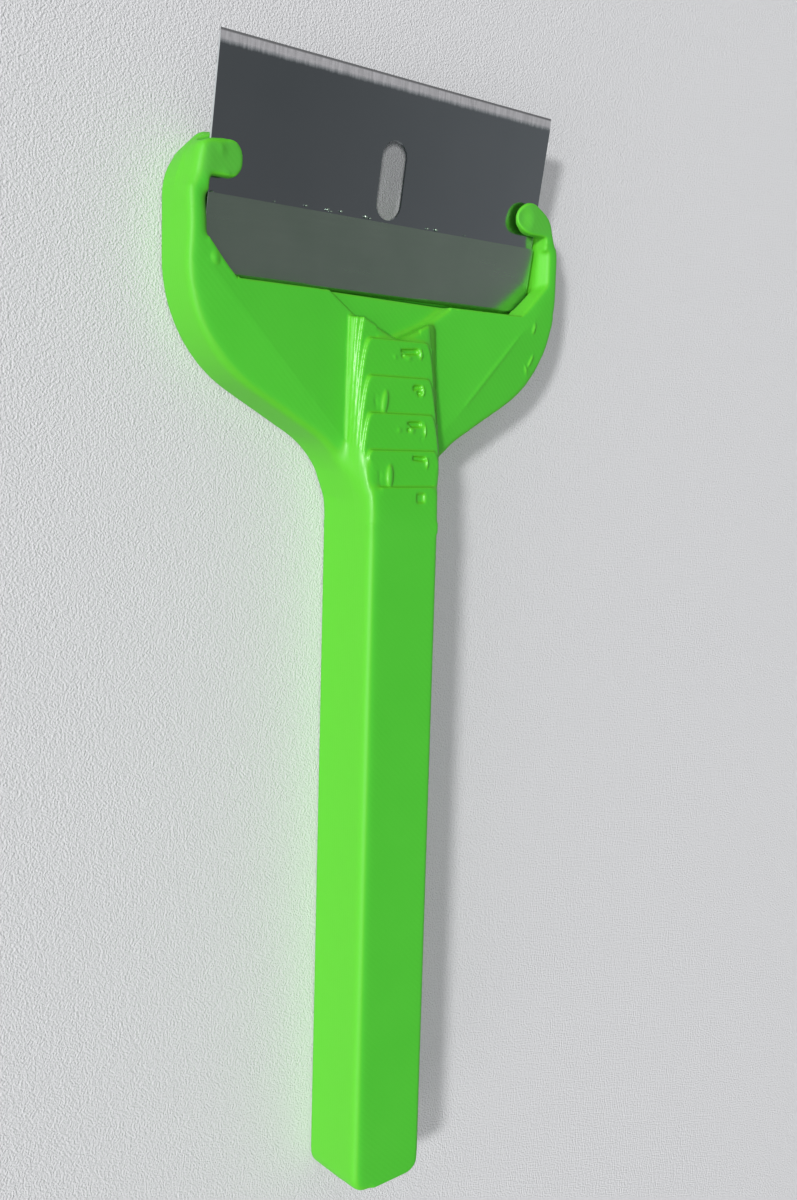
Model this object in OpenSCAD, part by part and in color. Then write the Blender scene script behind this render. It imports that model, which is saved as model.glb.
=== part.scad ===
// Scraper for one single-edge razor blade: a printed one-piece holder with a square bar handle,
// a flared head whose two arms end in hooks, and a blade with a folded spine that slides under them.
// The blade lies in a pocket that rises towards the cutting edge. +Y points from handle to edge.

/* [Handle] */
// Width of the bar handle
handle_w = 8.2; // [6:0.1:10]
// Height of the bar handle
handle_h = 7.1; // [6:0.1:9]
// Length of the handle from its end to where the wings begin
handle_len = 64.5; // [40:0.5:120]
// Rounding of the handle's long upper edges
handle_edge_r = 0.5; // [0.4:0.1:1.5]
// Rounding of the corners at the handle's end
handle_end_r = 1.6; // [0.5:0.1:3]

/* [Head] */
// Height of the head's plate
head_h = 4.7; // [4.5:0.1:5.4]
// Angle of the wings' straight rear edge to the blade
wing_angle = 28.4; // [24:0.2:34]
// Radius of the fillet where a wing leaves the handle
root_r = 9; // [6:0.5:11]
// Radius of a wing's outer shoulder
shoulder_r = 12; // [10:0.5:13]
// Distance from the start of the wings to the pocket's rear edge
lip_y = 20.2; // [19:0.1:22]
// Width of an arm beside the pocket
arm_w = 1.95; // [1.6:0.05:3]
// Length of the pocket's slanted corners along the rear edge
corner_cut = 3.1; // [2:0.05:4]
// Width of the bevel along the inner edge of an arm
bevel_w = 0.6; // [0.2:0.05:1]
// Depth of the bevel along the inner edge of an arm
bevel_d = 1.1; // [0.4:0.05:1.4]
// Thickness of the pocket's floor at its rear edge
floor_t = 1.4; // [1:0.05:1.8]

/* [Wing facets] */
// Distance of a wing's crest from the middle, at the rear edge of the pocket
crest_x = 18.6; // [16:0.1:19.5]
// Angle of the crest to the blade, seen from above
crest_angle = 44.2; // [40:0.2:50]
// Slope of the wing's inner facet, down towards the handle
inner_slope = 2.4; // [0:0.1:3]
// Slope of the wing's outer facet, down towards the rim
outer_slope = 4.6; // [0:0.1:6]

/* [Hooks] */
// Width of a hook's finger
finger_w = 3.1; // [2.2:0.1:4]
// Length of a hook's finger beyond the arm's inner face
finger_len = 3.6; // [2.4:0.1:5]
// Height of the hooks above the underside
hook_h = 4.8; // [4.7:0.05:5.4]
// Outer corner radius of a hook at its foot
jaw_r = 4.9; // [4:0.1:5.5]
// Outer corner radius of a hook at its top
corner_r = 4.1; // [3:0.1:5]
// How far a hook's outer wall leans in from foot to top
hook_lean = 0.5; // [0.2:0.05:0.8]
// How far a hook's foot reaches in front of its finger
jaw_reach = 0.6; // [0:0.1:1.5]
// Height where the wall of a hook starts to lean in
jaw_h = 2.4; // [1:0.1:3]
// Gap between the spine's front edge and the hooks
hook_gap = 1; // [0.3:0.1:2]

/* [Terraced nose] */
// Height of one terrace
terrace_h = 0.33; // [0.2:0.01:0.5]
// Distance between the fronts of two terraces
terrace_pitch = 3.3; // [2.5:0.1:4]
// Distance from the start of the wings to the nose's end
nose_len = 18.3; // [16:0.1:19]
// Narrowing of the nose on each side per unit of length
nose_taper_share = 0.041; // [0:0.005:0.06]
// Half width of the nose's foot where it leaves the fillet
foot_half = 5.7; // [5:0.1:6.5]
// Narrowing of the foot on each side per unit of length
foot_taper_share = 0.035; // [0:0.005:0.05]

/* [Notch before the blade] */
// Width of the notch at the pocket's rear edge
notch_w = 14.4; // [8:0.2:16]
// Distance from the notch's tip to the pocket's rear edge
notch_len = 3.6; // [3:0.1:5]
// Depth of the notch at the pocket's rear edge
notch_d = 1.3; // [0.6:0.1:1.8]
// Depth of the notch at its tip
notch_tip_d = 0.6; // [0.1:0.1:0.8]
// Width between the notch's bends, as a share of its whole width
notch_bend_share = 0.54; // [0.5:0.02:0.8]
// Distance of the notch's bends from its tip, as a share of its length
notch_rise_share = 0.44; // [0.2:0.02:0.5]

/* [Blade] */
// Length of the cutting edge
blade_w = 38.1; // [36:0.1:40]
// Depth of the blade from its back to the cutting edge
blade_d = 19.05; // [17:0.05:22]
// Thickness of the blade
blade_t = 0.23; // [0.15:0.01:0.4]
// Width of the ground bevel at the cutting edge
grind_w = 1.1; // [0.5:0.05:1.5]
// Thickness left at the very edge
edge_t = 0.02; // [0.01:0.01:0.05]
// Width of the slot in the blade
slot_w = 2.9; // [2:0.1:4]
// Length of the slot in the blade
slot_len = 6.9; // [4.5:0.1:8]
// Distance from the slot to the spine
slot_gap = 0.25; // [0.1:0.05:0.6]
// Pitch of the blade, up towards the cutting edge
blade_pitch = 9.6; // [7:0.1:10]

/* [Spine] */
// Depth of the folded spine from its back
spine_d = 6.6; // [5:0.1:7.5]
// Thickness of the folded strip
spine_wall = 0.3; // [0.2:0.01:0.4]

/* [Clearances] */
// Clearance over and under the spine
slide_gap = 0.12; // [0.08:0.01:0.25]
// Clearance at each end of the blade
side_gap = 0.5; // [0.2:0.05:0.8]
// Clearance behind the spine
lip_gap = 0.35; // [0.15:0.05:0.5]

/* [Hidden] */
over = 1;
steps = 12;

// Derived places across the head
pocket_half = blade_w / 2 + side_gap;
head_half = pocket_half + arm_w;
lip_half = pocket_half - corner_cut;
tip_half = pocket_half - finger_len;

// Derived places along the head
spine_t = blade_t + 2 * spine_wall;
slide_half = spine_t / 2 + slide_gap;
back_y = lip_y + lip_gap + spine_t / 2 * sin(blade_pitch);
back_z = floor_t + slide_half / cos(blade_pitch);
spine_front_y = back_y + spine_d * cos(blade_pitch);
edge_y = back_y + blade_d * cos(blade_pitch);
finger_back_y = spine_front_y + hook_gap;
front_y = finger_back_y + finger_w;
hook_y = spine_front_y + spine_wall;
floor_front_y = spine_front_y - spine_wall;
mid_y = (edge_y - handle_len) / 2;

// Centres of the fillet and the shoulder, and the crest's line
root_x = handle_w / 2 + root_r;
shoulder_x = head_half - shoulder_r;
arc_sum = root_r + shoulder_r;
shoulder_y = ((shoulder_x - root_x) * sin(wing_angle) + arc_sum) / cos(wing_angle);
crest_len = head_half + lip_y;

// Terraces of the nose: how many, and the slope that they step down
terraces = ceil((handle_h - head_h) / terrace_h);
terrace_slope_share = terrace_h / terrace_pitch;
nose_round_share = 0.4;
lean_steps = 5;

function arc(cx, cy, r, from, to) =
    [for (i = [0 : steps]) let (a = from + (to - from) * i / steps) [cx + r * cos(a), cy + r * sin(a)]];

function mirrored(points) = [for (i = [len(points) - 1 : -1 : 0]) [-points[i].x, points[i].y]];

// Half width of the nose's foot, kept inside the fillet of the wings
function fillet_half(y) = root_x - sqrt(max(0, pow(root_r, 2) - pow(min(max(y, 0), root_r), 2)));
function foot(y) = min(foot_half - foot_taper_share * y, fillet_half(y));

// Half width of the nose at a level, a distance y from the start of the wings
function slope_z(y) = handle_h + terrace_h - terrace_slope_share * y;
function drop_share(y, z) = max(0, slope_z(y) - z) / max(terrace_h, slope_z(y) - head_h);
function edge_inset(k) = let (d = min(handle_edge_r, (k + 0.5) * terrace_h))
    handle_edge_r - sqrt(pow(handle_edge_r, 2) - pow(handle_edge_r - d, 2));
function nose_half(y, k) = let (
        z = handle_h - k * terrace_h,
        top = handle_w / 2 - nose_taper_share * max(0, y) - edge_inset(k)
    ) top + (max(top, foot(y)) - top) * pow(min(1, drop_share(y, z)), nose_round_share);

module in_place() {
    translate([0, -mid_y, 0]) children();
}

// The blade's own plane: y runs from the spine's back to the cutting edge
module on_blade_plane() {
    translate([0, back_y, back_z]) rotate([blade_pitch, 0, 0]) children();
}

// Extrudes a profile drawn in y and z across the part
module across(w) {
    rotate([90, 0, 90]) translate([0, 0, -w / 2]) linear_extrude(w) children();
}

module handle_section() {
    top = handle_h - handle_edge_r;
    side = handle_w / 2 - handle_edge_r;
    half = concat([[handle_w / 2, 0]], arc(side, top, handle_edge_r, 0, 90));
    polygon(concat(half, mirrored(half)));
}

module handle_plan() {
    side = handle_w / 2 - handle_end_r;
    end = concat([[handle_w / 2, over]], arc(side, handle_end_r - handle_len, handle_end_r, 0, -90));
    polygon(concat(end, mirrored(end)));
}

module handle_bar() {
    intersection() {
        rotate([90, 0, 0]) translate([0, 0, -over]) linear_extrude(handle_len + 2 * over) handle_section();
        linear_extrude(handle_h) handle_plan();
    }
}

// One terrace: a tongue that widens away from its front, like a contour line of the rounded nose
module terrace(k) {
    front = min(nose_len, (k + 1) * terrace_pitch);
    half = [for (i = [0 : steps]) let (y = front - (front + over) * pow(i / steps, 2)) [nose_half(y, k), y]];
    linear_extrude(handle_h - k * terrace_h) polygon(concat(half, mirrored(half)));
}

module nose() {
    for (k = [0 : terraces - 1]) terrace(k);
}

module head_outline() {
    rear = concat(
        arc(root_x, 0, root_r, 180, 90 + wing_angle),
        arc(shoulder_x, shoulder_y, shoulder_r, wing_angle - 90, 0)
    );
    arm = [[head_half, hook_y], [pocket_half, hook_y], [pocket_half, floor_front_y]];
    half = concat(rear, arm);
    polygon(concat(half, mirrored(half)));
}

// A hook seen from above. Its outer side leans in by a share that grows from 0 at its foot to 1
module hook_outline(share) {
    hook_half = head_half - share * hook_lean;
    hook_r = jaw_r + share * (corner_r - jaw_r);
    tip_y = front_y + (1 - share) * jaw_reach;
    tip_r = (tip_y - finger_back_y) / 2;
    intersection() {
        translate([hook_half - hook_r, tip_y - hook_r]) circle(hook_r);
        union() {
            translate([tip_half + tip_r, finger_back_y]) square([hook_half, hook_r]);
            translate([pocket_half, hook_y]) square([hook_half, hook_r]);
        }
    }
    translate([tip_half + tip_r, tip_y - tip_r]) circle(tip_r);
}

// A slope cut into one wing: everything above a plane that leaves the crest at an angle
module facet_cut(turn, slope) {
    translate([crest_x, lip_y, head_h])
        rotate([0, 0, crest_angle + turn])
            rotate([-slope, 0, 0])
                translate([-crest_len, 0, 0]) cube([2 * crest_len, crest_len, crest_len]);
}

module wing_facets() {
    for (side = [0, 1]) mirror([side, 0, 0]) {
        intersection() {
            facet_cut(0, inner_slope);
            cube([head_half, lip_y + over, 2 * head_h]);
        }
        intersection() {
            facet_cut(180, outer_slope);
            cube([head_half + over, hook_y, 2 * head_h]);
        }
    }
}

// A hook rises in layers, each set in a little from the one below
module hook() {
    layer_h = (hook_h - jaw_h) / lean_steps;
    for (k = [0 : lean_steps]) linear_extrude(jaw_h + k * layer_h) hook_outline(k / lean_steps);
}

module plate() {
    difference() {
        linear_extrude(head_h) head_outline();
        wing_facets();
    }
    for (side = [0, 1]) mirror([side, 0, 0]) hook();
}

// The pocket seen from above, widened on its slanted and straight sides
module pocket_outline(grow, end_y) {
    slant = grow * (sqrt(2) - 1);
    half = [
        [lip_half + slant, lip_y],
        [pocket_half + grow, lip_y + corner_cut + grow - slant],
        [pocket_half + grow, end_y]
    ];
    polygon(concat(half, mirrored(half)));
}

module above_floor() {
    on_blade_plane() translate([-head_half, -front_y, -slide_half]) cube([2 * head_half, 2 * front_y, front_y]);
}

module pocket() {
    intersection() {
        linear_extrude(2 * head_h) pocket_outline(0, finger_back_y);
        above_floor();
    }
    hull() {
        translate([0, 0, head_h - bevel_d]) linear_extrude(edge_t) pocket_outline(0, floor_front_y);
        translate([0, 0, head_h]) linear_extrude(edge_t) pocket_outline(bevel_w, floor_front_y);
    }
}

// The way that the blade and its spine slide in, below the hooks and the slanted corners
module slideway() {
    on_blade_plane()
        translate([-pocket_half, -lip_gap, -slide_half])
            cube([2 * pocket_half, lip_gap + 2 * blade_d, 2 * slide_half]);
}

// A hollow between the nose and the blade: its plan, and a floor that falls from the tip to the pocket
module notch() {
    half = notch_w / 2;
    tip_y = lip_y - notch_len;
    bend = [half * notch_bend_share, tip_y + notch_len * notch_rise_share];
    flare_share = (half - bend.x) / (lip_y - bend.y);
    side = [[0, tip_y], bend, [half + lip_gap * flare_share, lip_y + lip_gap]];
    floor_len = notch_len + lip_gap;
    intersection() {
        linear_extrude(handle_h) polygon(concat(side, mirrored(side)));
        translate([0, tip_y, head_h - notch_tip_d])
            rotate([-atan((notch_d - notch_tip_d) / floor_len), 0, 0])
                translate([-notch_w, -floor_len, 0]) cube([2 * notch_w, 3 * floor_len, handle_h]);
    }
}

module holder() {
    color([0.35, 0.8, 0.2]) in_place() difference() {
        union() {
            handle_bar();
            plate();
            nose();
        }
        pocket();
        slideway();
        notch();
    }
}

module blade_profile() {
    polygon([
        [spine_wall, -blade_t / 2], [blade_d - grind_w, -blade_t / 2], [blade_d, -edge_t / 2],
        [blade_d, edge_t / 2], [blade_d - grind_w, blade_t / 2], [spine_wall, blade_t / 2]
    ]);
}

module blade_slot() {
    near = spine_d + slot_gap + slot_w / 2;
    far = near + slot_len - slot_w;
    translate([0, near, -blade_t]) cylinder(h = 2 * blade_t, d = slot_w, $fn = 48);
    translate([0, far, -blade_t]) cylinder(h = 2 * blade_t, d = slot_w, $fn = 48);
    translate([-slot_w / 2, near, -blade_t]) cube([slot_w, far - near, 2 * blade_t]);
}

module blade() {
    color([0.36, 0.39, 0.41]) in_place() on_blade_plane() difference() {
        across(blade_w) blade_profile();
        blade_slot();
    }
}

// A strip folded round the blade's back, closed on it from both sides
module spine_profile() {
    r = spine_t / 2;
    back = arc(r, 0, r, 90, 270);
    polygon(concat(back, [
        [spine_d, -r], [spine_d, -blade_t / 2], [spine_wall, -blade_t / 2],
        [spine_wall, blade_t / 2], [spine_d, blade_t / 2], [spine_d, r]
    ]));
}

module blade_spine() {
    color([0.42, 0.48, 0.42]) in_place() on_blade_plane() across(blade_w) spine_profile();
}

holder();
blade();
blade_spine();
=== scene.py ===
import math

import bmesh
import bpy
from mathutils import Matrix, Vector


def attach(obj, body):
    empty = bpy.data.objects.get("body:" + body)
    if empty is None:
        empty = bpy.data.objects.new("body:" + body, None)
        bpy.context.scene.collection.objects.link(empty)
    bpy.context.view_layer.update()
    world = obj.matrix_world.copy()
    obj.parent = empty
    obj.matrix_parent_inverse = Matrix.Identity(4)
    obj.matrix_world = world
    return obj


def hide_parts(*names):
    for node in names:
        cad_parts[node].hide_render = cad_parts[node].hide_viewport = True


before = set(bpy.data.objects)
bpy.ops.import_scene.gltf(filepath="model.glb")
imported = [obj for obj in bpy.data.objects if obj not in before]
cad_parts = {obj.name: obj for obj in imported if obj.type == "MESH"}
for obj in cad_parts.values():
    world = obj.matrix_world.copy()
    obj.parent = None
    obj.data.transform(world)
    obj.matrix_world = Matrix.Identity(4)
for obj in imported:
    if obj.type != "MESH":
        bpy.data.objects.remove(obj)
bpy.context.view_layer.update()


# Holder: one piece of bright green plastic, printed in layers 0.33 mm thick from the handle to the hooks. Its
# edges are soft where the hot plastic was laid round them, and the nozzle left pits and beads on the nose's
# steps. It starts from the solid's own surface, which is cut, joined, melted together and eased.
def mm(x, y, z):
    """A place or a size in millimetres, in the scene's metres."""
    return Vector((x, y, z)) * 0.001


def laid(place, size, turn):
    """Lays a unit shape down: its middle, its length along each axis and its turn in degrees."""
    turned = Matrix.Translation(mm(*place)) @ Matrix.Rotation(math.radians(turn), 4, "Z")
    return turned @ Matrix.Diagonal((*mm(*size), 1.0))


def block(bm, place, size, turn):
    bmesh.ops.create_cube(bm, size=1.0, matrix=laid(place, size, turn))


def pebble(bm, place, size, turn):
    bmesh.ops.create_uvsphere(bm, u_segments=16, v_segments=10, radius=0.5, matrix=laid(place, size, turn))


def as_object(name, bm):
    mesh = bpy.data.meshes.new(name)
    bm.to_mesh(mesh)
    bm.free()
    piece = bpy.data.objects.new(name, mesh)
    bpy.context.scene.collection.objects.link(piece)
    return piece


def bake(piece):
    """Turns a piece's modifiers into its mesh."""
    bpy.context.view_layer.update()
    done = bpy.data.meshes.new_from_object(piece.evaluated_get(bpy.context.evaluated_depsgraph_get()))
    piece.modifiers.clear()
    piece.data = done


# Hollows in the nose's steps, from the notch back to the handle: square pits first, then round ones.
hollows = bmesh.new()
for place, size, turn in (
        ((1.05, 28.10, 5.78), (2.2, 0.5, 0.62), 4), ((0.25, 27.80, 5.78), (0.4, 0.5, 0.56), 4),
        ((1.80, 24.85, 6.11), (1.0, 0.5, 0.62), 2), ((2.05, 24.50, 6.11), (0.5, 0.6, 0.60), 30),
        ((1.30, 21.55, 6.44), (1.7, 0.5, 0.62), 2), ((0.60, 21.20, 6.44), (0.4, 0.6, 0.56), 2),
        ((1.70, 18.45, 6.77), (1.6, 0.4, 0.60), -4), ((1.75, 14.85, 7.10), (1.0, 0.9, 0.44), 2)):
    block(hollows, place, size, turn)
for place, size, turn in (
        ((2.17, 20.25, 6.46), (0.3, 0.4, 0.25), 0), ((-3.10, 23.45, 6.15), (0.5, 1.6, 0.22), 8),
        ((-2.95, 16.85, 6.81), (0.5, 1.6, 0.22), 4)):
    pebble(hollows, place, size, turn)
cutter = as_object("holder_hollows", hollows)

shell = bmesh.new()
shell.from_mesh(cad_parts["holder"].data)
bmesh.ops.remove_doubles(shell, verts=shell.verts, dist=1e-7)
holder = as_object("holder_print", shell)
cut = holder.modifiers.new("hollows", "BOOLEAN")
cut.operation, cut.solver, cut.object = "DIFFERENCE", "MANIFOLD", cutter
bake(holder)
bpy.data.objects.remove(cutter)

# Beads round those pits, then a blob by the pocket, two marks on the left finger, and the ridges and the crest
# line of the right wing.
lumps = bmesh.new()
lumps.from_mesh(holder.data)
for place, size, turn in (
        ((2.35, 27.95, 5.80), (0.36, 0.9, 0.42), 4), ((0.96, 27.50, 5.76), (0.7, 0.4, 0.24), 8),
        ((-0.71, 27.55, 5.76), (0.5, 0.4, 0.22), 8), ((2.48, 24.62, 6.13), (0.34, 0.9, 0.46), 2),
        ((-2.08, 23.45, 6.11), (0.75, 2.3, 0.46), -8), ((2.60, 21.05, 6.46), (0.36, 1.2, 0.40), 2),
        ((1.03, 21.00, 6.44), (0.6, 0.5, 0.24), 0), ((-0.54, 20.99, 6.44), (0.5, 0.4, 0.22), 0),
        ((2.66, 18.05, 6.79), (0.36, 0.9, 0.46), 2), ((-1.82, 16.85, 6.78), (0.75, 2.2, 0.50), 0),
        ((2.75, 14.65, 7.04), (0.4, 1.3, 0.12), 0), ((-19.10, 34.25, 4.60), (0.9, 1.3, 0.5), 30),
        ((-18.30, 42.70, 4.78), (0.7, 0.9, 0.42), 20), ((-17.80, 40.95, 4.75), (0.9, 0.6, 0.35), 0),
        ((18.20, 28.45, 4.47), (0.24, 1.7, 0.40), -30), ((17.60, 27.50, 4.45), (0.22, 1.3, 0.38), 24),
        ((18.35, 31.70, 4.66), (0.34, 1.2, 0.38), -12), ((12.55, 26.97, 4.62), (0.50, 15.5, 0.32), -44.7)):
    pebble(lumps, place, size, turn)
holder.data.clear_geometry()
lumps.to_mesh(holder.data)
lumps.free()

melt = holder.modifiers.new("melt", "REMESH")
melt.mode, melt.voxel_size, melt.adaptivity = "VOXEL", 0.00011, 0.0
bake(holder)

# Where things are on the head, in millimetres, as in the solid: its wings, fingers, contour and nose.
wing_y, hook_y = 12.55, 39.98
head_half, root_r, shoulder_r = 21.5, 9.0, 12.0
root, shoulder, bend_x = (13.1, 12.55), (9.5, 34.47), 8.82
flank_end_y, flank_z = 31.5, 4.75


def near_rim(x, y, width):
    """Says whether a point is near the head's contour: its root fillet, its shoulder or its straight arm."""
    x = abs(x)
    if y > shoulder[1]:
        return x > head_half - width
    if x < bend_x:
        return math.hypot(x - root[0], y - root[1]) < root_r + width
    return math.hypot(x - shoulder[0], y - shoulder[1]) > shoulder_r - width


def left_flank(x, y, z):
    """The nose's stepped left flank, where the layers' edges stay crisp."""
    return wing_y < y < flank_end_y and -6.2 < x < -2.6 and z > flank_z


def left_crease(x, y, z):
    """The notch's crease to the left of the nose, which is sharp."""
    return 29 < y < 32.9 and -7.6 < x < -3 and z > 4.2


def right_crease(x, y, z):
    """The notch's other crease, which ran together in the printing."""
    return 28.6 < y < 32.7 and (0.2 < x < 8.2 and 3.0 < z < 5.6 or -2.6 < x <= 0.2 and 4.5 < z < 5.6)


def fade(value, start, width):
    """Grows from 0 at the start to 1 a width further on, or the other way for a negative width."""
    return min(1.0, max(0.0, (value - start) / width))


def ease(piece, rounds, chosen):
    """Rounds the chosen part of a fine mesh, which may fade out: more rounds give a softer edge."""
    part = piece.vertex_groups.new(name="soft")
    tenths = [[] for _ in range(11)]
    for v in piece.data.vertices:
        tenths[round(10 * min(1.0, max(0.0, chosen(*(v.co * 1000)))))].append(v.index)
    for tenth in range(1, 11):
        part.add(tenths[tenth], tenth / 10, "REPLACE")
    soft = piece.modifiers.new("soft", "SMOOTH")
    soft.factor, soft.iterations, soft.vertex_group = 0.5, rounds, part.name


for rounds, chosen in (
        # The whole print, with the nose's left flank and the sharp crease kept crisper.
        (2, lambda x, y, z: True),
        (4, lambda x, y, z: not left_flank(x, y, z) and not left_crease(x, y, z)),
        (5, left_flank),
        # The lowest layers, the handle's left top edge as far as the nose, and the handle's end.
        (12, lambda x, y, z: z < 0.9),
        (160, lambda x, y, z: fade(y, 15.5, -4) if x < -1.6 and z > 4.4 else 0),
        (14, lambda x, y, z: y < -50),
        # The fillets at the wings' roots, and the top rims of the left and right arms.
        (120, lambda x, y, z: 8 < y < 19 and abs(x) > 3.9 and 3.0 < z < 4.9 and near_rim(x, y, 1.6)),
        (160, lambda x, y, z: y > wing_y and x < 0 and z > 2.4 and near_rim(x, y, 1.7)),
        (50, lambda x, y, z: y > wing_y and x > 0 and z > 2.6 and near_rim(x, y, 1.2)),
        # The fingers, the soft crease, the left finger's outer part, the right arm, and the left rim's foot.
        (14, lambda x, y, z: y > hook_y and z > 2.6),
        (70, right_crease),
        (60, lambda x, y, z: fade(x, -16.8, -1) if y > 38 and z > 3.2 else 0),
        (40, lambda x, y, z: x > 15 and 33 < y < 40 and z > 2.6),
        (60, lambda x, y, z: x < 0 and z < 1.4 and y > wing_y and near_rim(x, y, 1.2))):
    ease(holder, rounds, chosen)
bake(holder)
holder.vertex_groups.clear()


def nudge(bm, place, reach, shift):
    """Pushes the surface like a thumb in clay: most at the place, and nothing beyond its reach."""
    middle, way = mm(*place), mm(*shift)
    for v in bm.verts:
        share = 1.0 - (v.co - middle).length / (reach * 0.001)
        if share > 0.0:
            v.co += way * (share * share * (3.0 - 2.0 * share))


# This print's own hooks: the left one and its arm are blunter, and the right one is slimmer.
skin = bmesh.new()
skin.from_mesh(holder.data)
for place, reach, shift in (
        ((-19.6, 43.8, 2.4), 3.0, (-0.25, 0.45, 0.0)), ((-19.8, 42.8, 4.4), 2.4, (-0.50, 0.45, 0.1)),
        ((-16.6, 42.1, 4.4), 3.4, (-0.60, 0.0, 0.0)), ((16.2, 42.2, 4.9), 2.6, (-0.35, 0.0, 0.0)),
        ((16.0, 42.2, 5.4), 1.8, (0.0, 0.0, -0.45)), ((-19.6, 36.8, 4.2), 3.6, (0.28, 0.0, 0.0)),
        ((21.3, 41.2, 3.0), 3.2, (-0.45, -0.1, 0.0)), ((19.2, 44.0, 3.0), 2.6, (-0.30, -0.35, 0.0))):
    nudge(skin, place, reach, shift)

# The lip stands further forward on its left, and the nose's right flank leans in, both by so many metres.
lip_back_y, lip_front_y, lip_shift, flank_x, flank_lean = 30.5, 33.0, 0.0002, 2.5, 0.00045
for v in skin.verts:
    x, y, z = v.co * 1000
    if abs(x) < 16.8 and lip_back_y < y < lip_front_y and z > 1.5:
        v.co.y += lip_shift * fade(y, lip_back_y, 2.2) * fade(x, 6.0, -12.0)
    if flank_x < x < 5.0 and wing_y < y < flank_end_y and z > flank_z:
        v.co.x -= flank_lean * fade(y, wing_y, 12.0) * fade(z, flank_z, 0.5) * fade(x, flank_x, 0.6)
holder.data.clear_geometry()
skin.to_mesh(holder.data)
skin.free()

most_triangles = 190000
thin = holder.modifiers.new("thin", "DECIMATE")
thin.ratio = min(1.0, most_triangles / (2 * len(holder.data.polygons)))
bake(holder)
for face in holder.data.polygons:
    face.use_smooth = True


def finish_of(name, colour, metal, rough):
    """A Principled material, with its nodes, its shader and the piece's coordinates for its pattern."""
    material = bpy.data.materials.new(name)
    material.use_nodes = True
    tree = material.node_tree
    shader = tree.nodes["Principled BSDF"]
    shader.inputs["Base Color"].default_value = (*colour, 1.0)
    shader.inputs["Metallic"].default_value = metal
    shader.inputs["Roughness"].default_value = rough
    return material, tree, shader, tree.nodes.new("ShaderNodeTexCoord").outputs


def wire(tree, kind, inputs, **settings):
    """Adds a node with its settings, and gives each input its value or its link."""
    made = tree.nodes.new(kind)
    for key, value in settings.items():
        setattr(made, key, value)
    for key, value in inputs.items():
        if isinstance(value, bpy.types.NodeSocket):
            tree.links.new(value, made.inputs[key])
        else:
            made.inputs[key].default_value = value
    return made.outputs


def cloudy(tree, place, scale, detail):
    """Soft noise, with its scale in lumps to the metre."""
    return wire(tree, "ShaderNodeTexNoise", {"Vector": place, "Scale": scale, "Detail": detail})["Fac"]


def work_out(tree, operation, *values):
    """One sum on numbers or on other nodes' results."""
    return wire(tree, "ShaderNodeMath", dict(enumerate(values)), operation=operation)[0]


def ramp(tree, value, start, end, low=0.0, high=1.0):
    """Goes from low to high while the value goes from start to end."""
    return wire(tree, "ShaderNodeMapRange", {
        "Value": value, "From Min": start, "From Max": end, "To Min": low, "To Max": high})["Result"]


def between(tree, share, first, second, kind="RGBA"):
    """Mixes two colours, or two numbers, by the second one's share."""
    return wire(tree, "ShaderNodeMix", {"Factor": share, "A": first, "B": second}, data_type=kind)["Result"]


def raised(tree, shader, height, strength, distance):
    """Lets a pattern stand up from the surface, by a distance in metres."""
    bump = wire(tree, "ShaderNodeBump", {"Height": height, "Strength": strength, "Distance": distance})
    tree.links.new(bump["Normal"], shader.inputs["Normal"])


def ripple(tree, along, pitch):
    """Even lines, a pitch apart in metres."""
    return work_out(tree, "SINE", work_out(tree, "MULTIPLY", along, 2 * math.pi / pitch))


# Green plastic: darker and thinner in the fingers, glossier on the nose, and painted yellower on the side
# walls.
layer_height, raster_pitch = 0.00033, 0.00062
green, tree, shader, spot = finish_of("printed_green", (0.066, 0.50, 0.026), 0.0, 0.48)
along = wire(tree, "ShaderNodeSeparateXYZ", {"Vector": spot["Object"]})
facing = wire(tree, "ShaderNodeSeparateXYZ", {"Vector": spot["Normal"]})
upward = ramp(tree, facing["Z"], 0.9, 0.99)
cloud = cloudy(tree, spot["Object"], 140.0, 3.0)
plastic = between(tree, cloud, (0.060, 0.485, 0.023, 1.0), (0.073, 0.525, 0.029, 1.0))
finger = ramp(tree, along["Y"], 0.0402, 0.0412, 0.0, 0.35)
thin_part = between(tree, finger, plastic, (0.10, 0.30, 0.05, 1.0))
# Painted light: faces that don't face straight up get a yellower tint, standing in for the warm glow of the lit
# walls.
painted_lit_walls = between(tree, upward, (0.088, 0.495, 0.017, 1.0), thin_part)
tree.links.new(painted_lit_walls, shader.inputs["Base Color"])
past_handle = ramp(tree, along["Y"], 0.0125, 0.0150)
above_wings = ramp(tree, along["Z"], 0.0048, 0.0050)
nose = work_out(tree, "MULTIPLY", past_handle, above_wings)
tree.links.new(ramp(tree, nose, 0.0, 1.0, 0.55, 0.34), shader.inputs["Roughness"])
layers = ripple(tree, along["Z"], layer_height)
rasters = ripple(tree, work_out(tree, "ADD", along["X"], along["Y"]), raster_pitch)
lines = between(tree, upward, layers, rasters, "FLOAT")
grain = cloudy(tree, spot["Object"], 1500.0, 3.0)
raised(tree, shader, work_out(tree, "MULTIPLY_ADD", lines, 0.35, grain), 0.22, 0.00002)
shader.inputs["IOR"].default_value = 1.46
shader.inputs["Specular IOR Level"].default_value = 0.5
shader.inputs["Subsurface Weight"].default_value = 0.1
shader.inputs["Subsurface Radius"].default_value = (0.3, 1.0, 0.2)
shader.inputs["Subsurface Scale"].default_value = 0.0006
holder.data.materials.clear()
holder.data.materials.append(green)
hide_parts("holder")
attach(holder, "holder")


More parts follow.
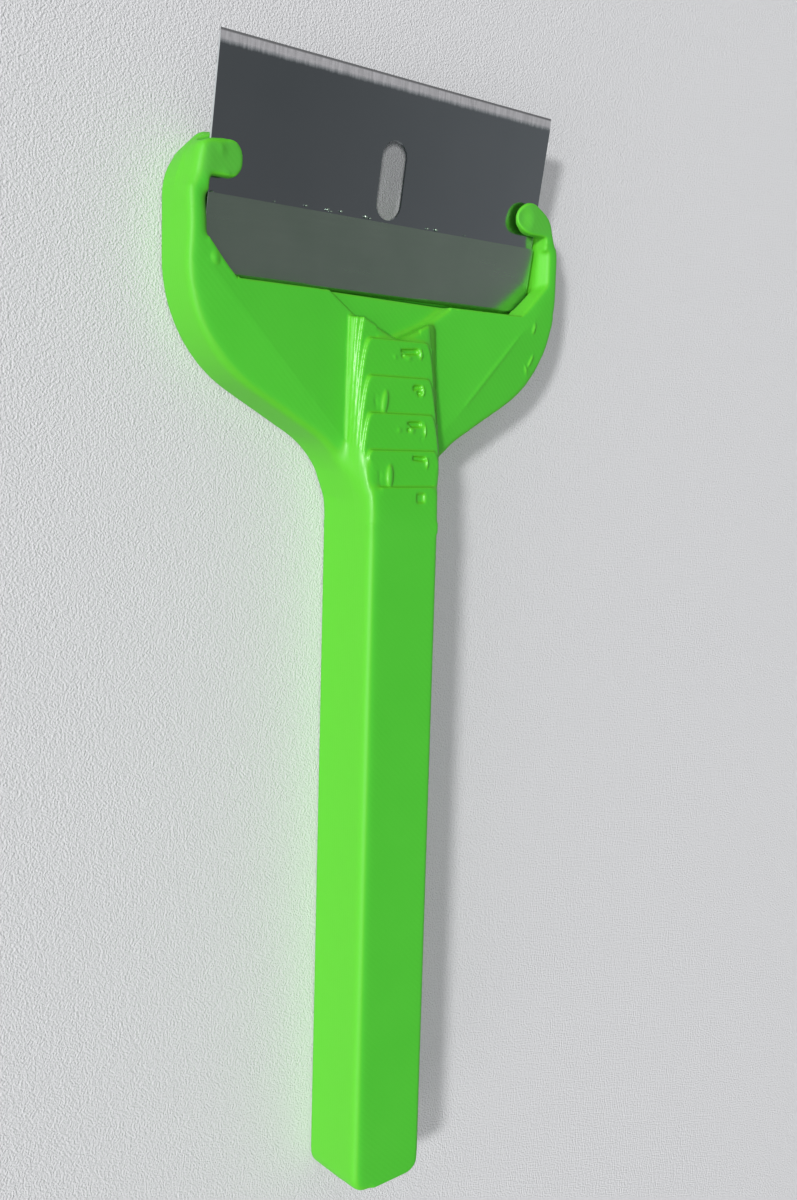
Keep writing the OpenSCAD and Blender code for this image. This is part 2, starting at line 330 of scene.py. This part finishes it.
# Blade: a thin plate of hardened steel with a round-ended slot, polished dark on its faces. Its front is ground
# to a pale bevel by a wheel that ran across it, and a darker honed line follows the very edge. Its sheared ends
# are bright.
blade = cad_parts["blade"]
bevel_y, edge_y, end_x = 0.05087, 0.05195, 0.01904
ragged, bevel_start, bevel_full, honed_start, honed_full = 0.0003, 0.00005, 0.0005, 0.00024, 0.00014
steel, tree, shader, spot = finish_of("blade_steel", (0.40, 0.44, 0.46), 1.0, 0.16)
along = wire(tree, "ShaderNodeSeparateXYZ", {"Vector": spot["Object"]})
across = wire(tree, "ShaderNodeMapping", {"Vector": spot["Object"], "Scale": (1.0, 0.12, 1.0)})[0]
grit = cloudy(tree, across, 5200.0, 3.0)
ground_y = work_out(tree, "MULTIPLY_ADD", grit, ragged, along["Y"])
ground = ramp(tree, ground_y, bevel_y + bevel_start, bevel_y + bevel_full)
honed = ramp(tree, along["Y"], edge_y - honed_start, edge_y - honed_full)
sheared = work_out(tree, "GREATER_THAN", work_out(tree, "ABSOLUTE", along["X"]), end_x)
haze = cloudy(tree, spot["Object"], 90.0, 4.0)
polished = between(tree, haze, (0.36, 0.40, 0.42, 1.0), (0.45, 0.48, 0.50, 1.0))
wheel = between(tree, grit, (0.26, 0.255, 0.265, 1.0), (0.66, 0.65, 0.67, 1.0))
bevelled = between(tree, ground, polished, wheel)
edged = between(tree, honed, bevelled, (0.17, 0.17, 0.175, 1.0))
tree.links.new(between(tree, sheared, edged, (0.46, 0.48, 0.49, 1.0)), shader.inputs["Base Color"])
cut_part = work_out(tree, "MAXIMUM", ground, sheared)
tree.links.new(ramp(tree, cut_part, 0.0, 1.0, 1.0, 0.35), shader.inputs["Metallic"])
tree.links.new(ramp(tree, cut_part, 0.0, 1.0, 0.15, 0.5), shader.inputs["Roughness"])
raised(tree, shader, work_out(tree, "MULTIPLY", grit, cut_part), 0.4, 0.00002)
blade.data.materials.clear()
blade.data.materials.append(steel)


# Spine: a strip of softer steel, folded round the blade's back and pressed onto both faces. It is satin, with
# faint marks from the rolls that closed it, rounded lips, and a few specks of plastic along its front lip.
lip_y, lip_z, slope = 39.7, 3.30, 0.17
strip = bmesh.new()
strip.from_mesh(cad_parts["blade_spine"].data)
bmesh.ops.remove_doubles(strip, verts=strip.verts, dist=1e-7)
for x, y, width, turn in (
        (-9.1, 39.90, 0.26, 0), (-6.8, 39.92, 0.34, 30), (-6.4, 39.80, 0.20, 0), (-5.3, 39.95, 0.28, 10),
        (-2.5, 39.86, 0.36, -20), (-2.0, 39.80, 0.22, 0), (4.9, 39.80, 0.30, 20), (6.0, 39.82, 0.34, -30),
        (-12.4, 39.78, 0.18, 0), (9.7, 39.78, 0.20, 0), (-18.6, 39.60, 0.40, 40), (-18.9, 39.25, 0.30, -20)):
    pebble(strip, (x, y, lip_z + (y - lip_y) * slope), (width, width * 0.7, width * 0.6), turn)
spine = as_object("spine_strip", strip)
lips = spine.modifiers.new("lips", "BEVEL")
lips.width, lips.segments, lips.limit_method, lips.angle_limit = 0.00005, 2, "ANGLE", math.radians(35)
bake(spine)
satin, tree, shader, spot = finish_of("spine_steel", (0.50, 0.60, 0.50), 1.0, 0.28)
rolled = wire(tree, "ShaderNodeMapping", {"Vector": spot["Object"], "Scale": (0.05, 1.0, 1.0)})[0]
streaks = cloudy(tree, rolled, 3000.0, 2.0)
tree.links.new(ramp(tree, streaks, 0.0, 1.0, 0.23, 0.29), shader.inputs["Roughness"])
mottle = cloudy(tree, spot["Object"], 260.0, 5.0)
# Painted reflection: the steel's colour is tinted green, standing in for the green holder it mirrors; the
# mottle is its own.
mottle_and_green_reflection = between(tree, mottle, (0.44, 0.56, 0.45, 1.0), (0.54, 0.65, 0.54, 1.0))
tree.links.new(mottle_and_green_reflection, shader.inputs["Base Color"])
raised(tree, shader, mottle, 0.1, 0.00003)
spine.data.materials.clear()
spine.data.materials.append(satin)
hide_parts("blade_spine")
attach(spine, "edge")


# Table, lights and camera: a pale table with a fine pebbled paint, three far, even lights from the left, a
# plain room that is darker on the right, and the view down onto the head.
table = bmesh.new()
just_below = Matrix.Translation(mm(0, 0, -0.05))
bmesh.ops.create_grid(table, x_segments=1, y_segments=1, size=1.5, matrix=just_below)
table = as_object("table", table)
paint, tree, shader, spot = finish_of("table_paint", (0.66, 0.66, 0.67), 0.0, 0.62)
raised(tree, shader, cloudy(tree, spot["Object"], 5600.0, 2.0), 0.9, 0.00016)
shader.inputs["Specular IOR Level"].default_value = 0.25
table.data.materials.append(paint)


def lamp(name, come_from, spread, strength):
    """A far, even light: the direction it comes from, how wide it looks in degrees, and its strength."""
    light = bpy.data.lights.new(name, "SUN")
    light.angle, light.energy = math.radians(spread), strength
    stand = bpy.data.objects.new(name, light)
    stand.rotation_euler = Vector(come_from).to_track_quat("Z", "Y").to_euler()
    bpy.context.scene.collection.objects.link(stand)


lamp("doorway", (-0.310, 0.085, 0.212), 6.3, 2.38)
lamp("ceiling", (-0.259, -0.065, 0.312), 4.2, 1.22)
lamp("window", (-0.58, -0.18, 0.21), 36.0, 0.52)

# The room's light falls off to the right, with a paler wall far out on that side. The camera sees it even.
room = bpy.data.worlds.new("room")
room.use_nodes = True
tree, background = room.node_tree, room.node_tree.nodes["Background"]
sky = wire(tree, "ShaderNodeTexCoord", {})["Generated"]
to_right = wire(tree, "ShaderNodeSeparateXYZ", {"Vector": sky})["X"]
dim_side = ramp(tree, to_right, 0.15, 0.45, 0.35, 0.17)
far_side = ramp(tree, to_right, 0.58, 0.85, 0.0, 0.19)
seen = wire(tree, "ShaderNodeLightPath", {})["Is Camera Ray"]
glow = between(tree, seen, work_out(tree, "ADD", dim_side, far_side), 0.75, "FLOAT")
tree.links.new(glow, background.inputs["Strength"])
background.inputs["Color"].default_value = (0.80, 0.82, 0.85, 1.0)
bpy.context.scene.world = room

eye = bpy.data.cameras.new("camera")
eye.lens, eye.sensor_width, eye.sensor_fit, eye.clip_start = 37.2, 36.0, "AUTO", 0.005
camera = bpy.data.objects.new("camera", eye)
right = (0.7621349, 0.0283527, 0.6467972)
up = (0.0582898, 0.9919781, -0.1121682)
back = (-0.6447889, 0.1231889, 0.7543685)
turned = Matrix((right, up, back)).transposed().to_4x4()
camera.matrix_world = Matrix.Translation(mm(-73.98, 19.571, 92.91)) @ turned
bpy.context.scene.collection.objects.link(camera)
bpy.context.scene.camera = camera
bpy.context.scene.view_settings.view_transform = "Standard"
